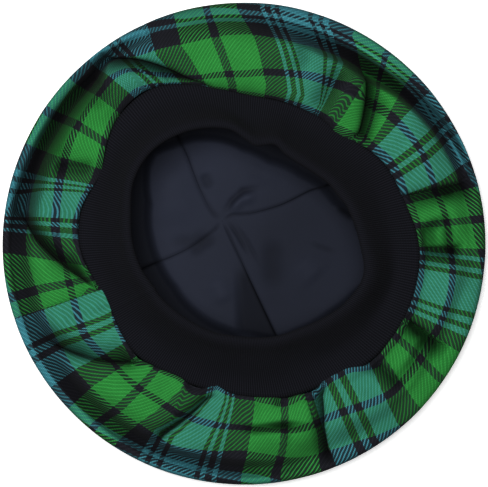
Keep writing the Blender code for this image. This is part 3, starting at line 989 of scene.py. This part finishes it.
class Recipe:
    """A material under construction: adds nodes and links them."""

    def __init__(self, name):
        self.material = bpy.data.materials.new(name)
        self.material.use_nodes = True
        self.tree = self.material.node_tree
        self.shader = self.tree.nodes["Principled BSDF"]
        self.place = self.read(self.node("ShaderNodeTexCoord"), "Object")

    def node(self, kind, inputs=(), **settings):
        made = self.tree.nodes.new(kind)
        for key, value in settings.items():
            setattr(made, key, value)
        for key, value in dict(inputs).items():
            self.feed(made.inputs[key], value)
        return made

    def feed(self, socket, value):
        if isinstance(value, Value):
            self.tree.links.new(value.socket, socket)
        else:
            socket.default_value = value

    def read(self, made, output):
        return Value(self, made.outputs[output])

    def math(self, operation, *values):
        return self.read(self.node("ShaderNodeMath", enumerate(values), operation=operation), 0)

    def mix(self, share, low, high, kind="RGBA", blend="MIX"):
        inputs = {"Factor": share, "A": low, "B": high}
        return self.read(self.node("ShaderNodeMix", inputs, data_type=kind, blend_type=blend), "Result")

    def noise(self, scale, detail=2.0, roughness=0.5):
        inputs = {"Vector": self.place, "Scale": scale, "Detail": detail, "Roughness": roughness}
        return self.read(self.node("ShaderNodeTexNoise", inputs), "Fac")

    def map_parts(self, name):
        """The two directions of a UV map."""
        source = self.read(self.node("ShaderNodeUVMap", uv_map=name), "UV")
        parts = self.node("ShaderNodeSeparateXYZ", {"Vector": source})
        return self.read(parts, "X"), self.read(parts, "Y")

    def green_of(self, colour):
        return self.read(self.node("ShaderNodeSeparateColor", {"Color": colour}), "Green")

    def light_left(self, loss):
        """What the painted shade on the vertices leaves of the light."""
        return 1.0 - self.read(self.node("ShaderNodeAttribute", attribute_name="hollow"), "Fac") * loss

    def bump(self, height, distance, strength):
        inputs = {"Height": height, "Distance": distance, "Strength": strength}
        self.surface({"Normal": self.read(self.node("ShaderNodeBump", inputs), "Normal")})

    def surface(self, values):
        for name, value in values.items():
            self.feed(self.shader.inputs[name], value)

    def cloth(self, colour, shade, roughness, specular, sheen, sheen_roughness):
        """A matt surface of a colour that the painted shade darkens."""
        grey = self.node("ShaderNodeCombineColor", {"Red": shade, "Green": shade, "Blue": shade})
        self.surface({
            "Base Color": self.mix(1.0, colour, self.read(grey, "Color"), blend="MULTIPLY"),
            "Roughness": roughness,
            "Specular IOR Level": specular,
            "Sheen Weight": sheen,
            "Sheen Roughness": sheen_roughness,
        })


def opaque(colour):
    return (*colour[:3], 1.0)


def stripe_ramp(recipe, thread, settings):
    """The colour of a thread, from its number in the sett."""
    ramp = recipe.node("ShaderNodeValToRGB", {"Fac": (thread / float(REPEAT)).rest()})
    stops = ramp.color_ramp
    stops.interpolation = "CONSTANT"
    wound = 0
    for index, (colour, count) in enumerate(SETT):
        stop = stops.elements[index] if index < 2 else stops.elements.new(wound / REPEAT)
        stop.position = wound / REPEAT
        stop.color = opaque(getattr(settings, colour))
        wound += count
    return recipe.read(ramp, "Color")


def tartan_material(settings):
    """2/2 twill of coloured threads. One map counts the sett's threads, the other the weave's, evenly."""
    recipe = Recipe("tartan_cloth")
    sway = (recipe.noise(*SWAY) - 0.5) * SWAY_THREADS
    across, down = (part * UV_THREADS + sway for part in recipe.map_parts("threads"))
    warp_colour = stripe_ramp(recipe, across, settings)
    weft_colour = stripe_ramp(recipe, down + LINE_THREAD, settings)
    warp, weft = (part * UV_THREADS + sway for part in recipe.map_parts("weave"))

    # Each thread passes over two and under two, one step further on at every row
    turn = (warp.whole() + weft.whole()) % TWILL
    warp_over = turn < WARP_OVER
    colour = recipe.mix(warp_over, weft_colour, warp_colour)

    # Black threads cover more than their share: beside them a coloured float shows as a thin slanting line
    hidden = recipe.mix(warp_over, warp_colour, weft_colour)
    hidden_green = recipe.green_of(hidden)
    slant = (warp + weft - (1.0 - warp_over) * 2.0) % TWILL
    margin = (hidden_green < BLACK_LIMIT) * (abs(slant - FLOAT_MIDDLE) > LINE_HALF_WIDTH)

    # The nap carries some of the colour of the thread beneath
    least_green = recipe.math("MINIMUM", recipe.green_of(colour), hidden_green)
    nap = (least_green < BLACK_LIMIT) * (NAP_BY_BLACK - NAP) + NAP
    colour = recipe.mix(nap, recipe.mix(margin, colour, hidden), recipe.mix(margin, hidden, colour))

    # The round of the thread on top, its bow between the places where it dives, and its fibres. Besides the
    # bump, they paint light on the threads' tops and shade between them.
    width = recipe.mix(warp_over, weft.rest(), warp.rest(), "FLOAT")
    run = recipe.mix(warp_over, warp.rest(), weft.rest(), "FLOAT")
    phase = (turn % 2.0 + run) * 0.5
    height = width * (1.0 - width) * THREAD_ROUND + phase * (1.0 - phase) * THREAD_BOW
    height = height + (recipe.noise(*FIBRES) - 0.5) * FIBRE_HEIGHT

    # Uneven tone at random, also standing in for the soft shade of small puckers; below, the painted shade
    # of folds and grooves
    mottle = recipe.noise(*MOTTLE) * MOTTLE_RANGE + MOTTLE_LEAST
    # Warp floats are painted lighter than weft floats, for how the light catches their fibres
    float_light = warp_over * (2.0 * (1.0 - WEFT_LIGHT)) + WEFT_LIGHT
    shade = (height + BETWEEN_THREADS) * mottle * float_light * recipe.light_left(FOLD_SHADE)
    recipe.cloth(colour, shade, roughness=0.9, specular=0.06, sheen=0.03, sheen_roughness=0.5)
    recipe.bump(height, TWILL_RELIEF, strength=0.8)
    return recipe.material


def knit_material(settings):
    """Rows of small chevron stitches along the ribs."""
    recipe = Recipe("black_knit")
    rib, course = recipe.map_parts("stitches")
    aside = abs(rib.rest() - 0.5)
    stitch = (course - aside * CHEVRON).rest()
    height = stitch * (1.0 - stitch) * LOOP_HEIGHT + recipe.noise(*YARN) * YARN_HEIGHT
    # Painted light and shade: the tops of the loops lighter, the dips between them and the sides of each rib
    # darker
    shade = (height * LOOP_LIGHT + BETWEEN_LOOPS) * (1.0 - aside * RIB_SHADE)
    colour = opaque(settings.colour)
    recipe.cloth(colour, shade, roughness=0.92, specular=0.05, sheen=0.02, sheen_roughness=0.6)
    recipe.bump(height, KNIT_RELIEF, strength=0.8)
    return recipe.material


def lining_material(settings):
    """Plain weave of fine filament, uneven in tone, darkened by the painted shade on its vertices."""
    recipe = Recipe("dark_lining")
    # The cloud's uneven tone is partly the cloth's own and partly stands in for soft patches of light and
    # shade
    cloud = recipe.noise(*CLOUDS)
    weave = recipe.noise(*FILAMENTS)
    tone = cloud * CLOUD_TONE + LINING_TONE + weave * FILAMENT_TONE
    colour = opaque(settings.colour)
    shade = tone * recipe.light_left(LINING_SHADE)
    roughness = cloud * ROUGHNESS_RANGE + LEAST_ROUGHNESS
    recipe.cloth(colour, shade, roughness, specular=0.1, sheen=0.04, sheen_roughness=0.4)
    recipe.bump(weave, LINING_RELIEF, strength=0.5)
    return recipe.material


def floor_material(settings):
    recipe = Recipe("pale_floor")
    least, range_above = FLOOR_ROUGHNESS
    recipe.surface({
        "Base Color": opaque(settings.floor),
        "Roughness": recipe.noise(*FLOOR_GRAIN) * range_above + least,
        "Emission Color": opaque(settings.floor),
        "Emission Strength": settings.floor_glow,
    })
    return recipe.material


# Pieces


def panel_columns(first, last, count):
    """Azimuths of a panel's columns, closest together at its seams."""
    share = np.linspace(0.0, 1.0, count + 1)
    eased = share - COLUMN_CROWDING * np.sin(2.0 * math.pi * share) / (2.0 * math.pi)
    inset = math.degrees(PANEL_GAP / RIM_RADIUS)
    return first + inset + (last - first - 2.0 * inset) * eased


def make_panel(index, settings, material):
    """One tartan panel, from the crown seam round the rim to the band."""
    first = PANEL_SEAMS[index]
    last = PANEL_SEAMS[(index + 1) % len(PANEL_SEAMS)]
    last += 360.0 if last < first else 0.0
    azimuths = panel_columns(first, last, settings.columns)
    azimuth, radius, height, length, hollow, rim_row = cloth_surface(azimuths)

    # The sewn edge sinks a little into its seam
    from_seam = np.radians(np.minimum(azimuths - first, last - azimuths)) * RIM_RADIUS
    sunk = PANEL_SEAM_DEPTH * bell(from_seam, PANEL_SEAM_WIDTH)
    upper = smoothstep(RIM_PLACE - 1.0, RIM_PLACE, cloth_places())[:, None]
    height = np.maximum(height - sunk * upper, 0.0)

    piece, column, row = grid_sheet(f"tartan_panel_{index + 1}", settings.columns, len(radius) - 1)
    x, y = plan(radius, azimuth)
    place_vertices(piece, x[row, column], y[row, column], height[row, column])
    threads = (thread_round(index, azimuth, radius), thread_along(azimuth, radius, length, rim_row))
    weave = (np.radians(azimuth - first) * WEAVE_RADIUS / WEAVE_PITCH, -length / WEAVE_PITCH)
    maps = {"threads": threads, "weave": weave}
    write_maps(piece, {name: [part[row, column] / UV_THREADS for part in maps[name]] for name in maps})
    write_shade(piece, hollow[row, column])
    thicken(piece, settings.thickness)
    finish_piece(piece, f"side_panel_{index + 1}", material)
    float(np.mean(length[-1] - length[0]))
    return piece


def make_crown(settings, material):
    """The round of cloth that the hat lies on, in straight rows of tartan."""
    piece, column, row = grid_sheet("tartan_crown", CROWN_SIDES, CROWN_RINGS)
    radius = (CROWN_RADIUS - CROWN_INSET) * (row / CROWN_RINGS)
    from_x, from_y = plan(radius, 360.0 * column / CROWN_SIDES)
    x = CROWN_CENTRE[0] + from_x
    y = CROWN_CENTRE[1] + from_y
    place_vertices(piece, x, y, np.zeros_like(x))
    rows = (x / THREAD / UV_THREADS, y / THREAD / UV_THREADS)
    write_maps(piece, {"threads": rows, "weave": rows})
    merge_and_face_out(piece, CROWN_MERGE)
    if piece.data.polygons[0].normal.z > 0.0:
        piece.data.flip_normals()
    thicken(piece, settings.thickness)
    finish_piece(piece, "crown_top", material)
    return piece


def band_middle(azimuth, share):
    """Radius and height of the band's middle layer."""
    base = section(azimuth, "seam")
    edge = section(azimuth, "edge")
    for curl in BAND_CURLS:
        edge = edge - curl.reach * MM * bell(turn_between(azimuth, curl.azimuth), curl.half_turn)
    inward, upward = (first * share + second * share**2 for first, second in (BAND_INWARD, BAND_UPWARD))
    radius = base + (edge - base) * inward
    height = BAND_BASE_HEIGHT + (BAND_EDGE_HEIGHT - BAND_BASE_HEIGHT) * upward
    rolled = np.clip((share - BAND_ROLL_START) / (1.0 - BAND_ROLL_START), 0.0, None)
    height = height - BAND_ROLL * rolled**2
    for form in BAND_FORMS:
        aside = turn_between(azimuth, form.azimuth) / form.half_turn
        off = (share - form.share) / form.half_width
        height = height + form.rise * MM * np.exp(-(aside**2) - off**2)
    turn = np.radians(azimuth)
    sway = sum(
        wave.height * np.sin(wave.turns * turn + wave.lean * share + wave.start) for wave in BAND_WAVES
    )
    return radius, height + MM * sway * np.sin(math.pi * np.clip(share, 0.0, 1.0))


def band_path(azimuth, share):
    """Radius and height of the band's middle layer, and the direction across it."""
    radius, height = band_middle(azimuth, share)
    before = band_middle(azimuth, share - BAND_STEP)
    after = band_middle(azimuth, share + BAND_STEP)
    radius_rate = after[0] - before[0]
    height_rate = after[1] - before[1]
    size = np.hypot(radius_rate, height_rate)
    return radius, height, height_rate / size, -radius_rate / size


def make_band(settings, material):
    """The doubled rib knit: up its outer side, over the folded free edge and down its inner side."""
    columns = settings.ribs * RIB_COLUMNS
    outer = [(share, 1.0) for share in np.linspace(0.0, 1.0, BAND_SIDE_ROWS, endpoint=False)]
    cap = [(1.0, math.cos(math.pi * step / BAND_CAP_ROWS)) for step in range(BAND_CAP_ROWS + 1)]
    inner = [(share, -1.0) for share in np.linspace(1.0, 0.0, BAND_SIDE_ROWS + 1)[1:]]
    stations = np.array(outer + cap + inner + outer[:1])
    piece, column, row = grid_sheet("knit_headband", columns, len(stations) - 1)
    share, side = stations[row].T
    azimuth = 360.0 * column / columns
    radius, height, across_radius, across_height = band_path(azimuth, share)
    over_edge = np.sqrt(np.clip(1.0 - side**2, 0.0, 1.0)) * (share >= 1.0)
    rib = column / RIB_COLUMNS
    ridge = np.abs(np.sin(math.pi * rib)) ** RIB_ROUND - 0.5
    swell = 1.0 + BAND_EDGE_SWELL * smoothstep(BAND_ROLL_START, 1.0, share)
    reach = BAND_HALF_THICKNESS * swell + settings.relief * ridge
    reach = reach + BAND_SEAM_HEIGHT * bell(turn_between(azimuth, BAND_SEAM), BAND_SEAM_HALF_TURN)
    radius = radius + reach * (side * across_radius - over_edge * across_height)
    height = height + reach * (side * across_height + over_edge * across_radius)
    place_vertices(piece, *plan(radius, azimuth), height)
    write_maps(piece, {"stitches": (rib, row * STITCHES_A_ROW)})
    merge_and_face_out(piece, BAND_MERGE)
    finish_piece(piece, "headband", material)
    return piece


def loop_azimuth(direction):
    """Azimuth at which a ray from the lining's middle meets the gathered seam."""
    azimuth = direction
    for _ in range(SEARCH_STEPS):
        radius = float(section(np.array([azimuth]), "seam")[0])
        x = radius * math.cos(math.radians(azimuth)) - LINING_CENTRE[0]
        y = radius * math.sin(math.radians(azimuth)) - LINING_CENTRE[1]
        azimuth += float(turn_between(direction, math.degrees(math.atan2(y, x))))
    return azimuth


def lining_relief(index, x, y, across):
    """How far the lining's form rises over its plain bowl, and the painted shade on it."""
    outline = column_at(LINING_PLATEAU, "radius", np.degrees(np.arctan2(y, x)) % 360.0, period=360.0) * MM
    beyond = smoothstep(*PLATEAU_SLOPE, np.hypot(x, y) - outline)
    rise = PLATEAU_HEIGHT * (1.0 - beyond)
    dark = LINING_FALL * smoothstep(*LINING_FALL_REACH, x - LINING_FALL_LEAN * y)
    crease_rise, crease_dark = creases(x, y, LINING_CREASES)
    rise = rise + crease_rise * (1.0 - beyond)
    dark = dark + crease_dark * (1.0 - beyond)
    if index == SLACK_GORE:
        slack = smoothstep(*SLACK_LINE, x) * smoothstep(*SLACK_FROM, y) * (1.0 - beyond)
        rise = rise - SLACK_DROP * slack * (1.0 - smoothstep(*SLACK_END, across))
        dark = dark + SLACK_SHADE * slack
    return rise, np.clip(np.maximum(dark, PLATEAU_SHADE * beyond), *LINING_SHADES)


def seam_bow(index, distance):
    """How far to its left a lining seam runs, at distances from the middle."""
    bows = np.array(LINING_BOWS[index % len(LINING_BOWS)], float)[:, None] * MM
    places = np.minimum(distance / LINING_BOW_STEP, len(bows) - BOW_STOP)
    return along(bows, places)[:, 0]


def make_gore(index, settings, material):
    """One gore of the lining, from its tip at the middle out and up to the gathered seam."""
    first = loop_azimuth(LINING_SEAMS[index])
    last = loop_azimuth(LINING_SEAMS[(index + 1) % len(LINING_SEAMS)])
    last += 360.0 if last < first else 0.0
    piece, column, row = grid_sheet(f"lining_gore_cloth_{index + 1}", GORE_COLUMNS, GORE_ROWS)
    across = column / GORE_COLUMNS
    places = row / GORE_ROWS * (len(LINING_OUT) - 1)
    out, rise = (along(np.array(values)[:, None], places)[:, 0] for values in (LINING_OUT, LINING_RISE))
    azimuth = first + (last - first) * across
    edge_x, edge_y = plan(section(azimuth, "seam") - LINING_EDGE_INSET, azimuth)
    away_x = (edge_x - LINING_CENTRE[0]) * out
    away_y = (edge_y - LINING_CENTRE[1]) * out
    away = np.maximum(np.hypot(away_x, away_y), LEAST_AWAY)
    bow = (1.0 - across) * seam_bow(index, away) + across * seam_bow(index + 1, away)
    x = LINING_CENTRE[0] + away_x - bow * away_y / away
    y = LINING_CENTRE[1] + away_y + bow * away_x / away
    relief, dark = lining_relief(index, x, y, across)
    height = LINING_FLOOR_HEIGHT + (LINING_EDGE_HEIGHT - LINING_FLOOR_HEIGHT) * rise + relief

    # The seam is sewn a little lower than the gore, and painted a little darker with shade
    from_seam = np.radians(np.minimum(across, 1.0 - across) * (last - first)) * away
    sunk = bell(from_seam, GORE_SEAM_WIDTH) * smoothstep(0.0, GORE_SEAM_START, away)
    place_vertices(piece, x, y, height - GORE_SEAM_DEPTH * sunk)
    write_shade(piece, np.clip(dark + GORE_SEAM_SHADE * sunk, *LINING_SHADES))
    merge_and_face_out(piece, GORE_MERGE)
    if piece.data.polygons[len(piece.data.polygons) // 2].normal.z < 0.0:
        piece.data.flip_normals()
    thicken(piece, settings.thickness)
    finish_piece(piece, f"lining_gore_{index + 1}", material)
    return piece


def make_floor(settings):
    start_clean()
    bpy.ops.mesh.primitive_plane_add(size=FLOOR_SIZE, location=(0.0, 0.0, 0.0))
    floor = bpy.context.object
    floor.name = "floor"
    floor.data.materials.append(floor_material(settings))
    floor.visible_diffuse = False


def make_lights(settings):
    world = bpy.data.worlds.new("soft_room")
    world.use_nodes = True
    background = world.node_tree.nodes["Background"]
    background.inputs["Color"].default_value = (1.0, 1.0, 1.0, 1.0)
    background.inputs["Strength"].default_value = settings.fill
    bpy.context.scene.world = world
    start_clean()
    place = KEY_DISTANCE * Vector(KEY_DIRECTION).normalized()
    turn = place.to_track_quat("Z", "Y").to_euler()
    bpy.ops.object.light_add(type="AREA", location=place, rotation=turn)
    key = bpy.context.object
    key.name = "key_light"
    key.data.size = KEY_SIZE
    key.data.energy = settings.key_power


def make_camera(settings):
    """Straight over the hat, with +Y at the top of the picture."""
    start_clean()
    bpy.ops.object.camera_add(location=(0.0, 0.0, settings.camera_height), rotation=(0.0, 0.0, 0.0))
    camera = bpy.context.object
    camera.name = "camera"
    picture_width = RIM_RADIUS / RIM_PIXELS * PICTURE_WIDTH
    camera.data.sensor_width = SENSOR_WIDTH
    camera.data.lens = SENSOR_WIDTH * (settings.camera_height - RIM_HEIGHT) / picture_width
    bpy.context.scene.camera = camera


# Operators


class TAM_OT_stage(bpy.types.Operator):
    """Sets the pale floor, the soft light and the camera over the hat"""

    bl_idname = "tam.stage"
    bl_label = "Stage"

    def execute(self, context):
        settings = context.scene.tam_stage
        make_floor(settings)
        make_lights(settings)
        make_camera(settings)
        context.scene.view_settings.view_transform = "Standard"
        context.scene.view_settings.gamma = PICTURE_GAMMA
        return {"FINISHED"}


class TAM_OT_cloth(bpy.types.Operator):
    """Makes the four gathered panels and the crown of tartan cloth"""

    bl_idname = "tam.cloth"
    bl_label = "Tartan cloth"

    def execute(self, context):
        settings = context.scene.tam_cloth
        material = tartan_material(settings)
        for index in range(len(PANEL_SEAMS)):
            make_panel(index, settings, material)
        make_crown(settings, material)
        return {"FINISHED"}


class TAM_OT_band(bpy.types.Operator):
    """Makes the ribbed knit headband"""

    bl_idname = "tam.band"
    bl_label = "Knit headband"

    def execute(self, context):
        settings = context.scene.tam_band
        make_band(settings, knit_material(settings))
        return {"FINISHED"}


class TAM_OT_lining(bpy.types.Operator):
    """Makes the four gores of the lining"""

    bl_idname = "tam.lining"
    bl_label = "Lining"

    def execute(self, context):
        settings = context.scene.tam_lining
        material = lining_material(settings)
        for index in range(len(LINING_SEAMS)):
            make_gore(index, settings, material)
        return {"FINISHED"}


class TAM_PT_panel(bpy.types.Panel):
    bl_label = "Tam o' shanter"
    bl_idname = "TAM_PT_panel"
    bl_space_type = "VIEW_3D"
    bl_region_type = "UI"
    bl_category = "Tam"

    def draw(self, context):
        for operator, settings in PANEL_ROWS:
            box = self.layout.box()
            box.operator(operator)
            group = getattr(context.scene, settings)
            for name in group.__annotations__:
                box.prop(group, name)


PANEL_ROWS = (
    ("tam.stage", "tam_stage"),
    ("tam.cloth", "tam_cloth"),
    ("tam.band", "tam_band"),
    ("tam.lining", "tam_lining"),
)
SETTINGS = (
    ("tam_cloth", ClothSettings),
    ("tam_band", BandSettings),
    ("tam_lining", LiningSettings),
    ("tam_stage", StageSettings),
)
OPERATORS = (TAM_OT_stage, TAM_OT_cloth, TAM_OT_band, TAM_OT_lining)


def register():
    for name, group in SETTINGS:
        bpy.utils.register_class(group)
        setattr(bpy.types.Scene, name, PointerProperty(type=group))
    for operator in OPERATORS:
        bpy.utils.register_class(operator)
    bpy.utils.register_class(TAM_PT_panel)


def unregister():
    bpy.utils.unregister_class(TAM_PT_panel)
    for operator in reversed(OPERATORS):
        bpy.utils.unregister_class(operator)
    for name, group in reversed(SETTINGS):
        delattr(bpy.types.Scene, name)
        bpy.utils.unregister_class(group)


def main():
    register()
    bpy.ops.tam.stage()
    bpy.ops.tam.cloth()
    bpy.ops.tam.band()
    bpy.ops.tam.lining()


if __name__ == "__main__":
    main()
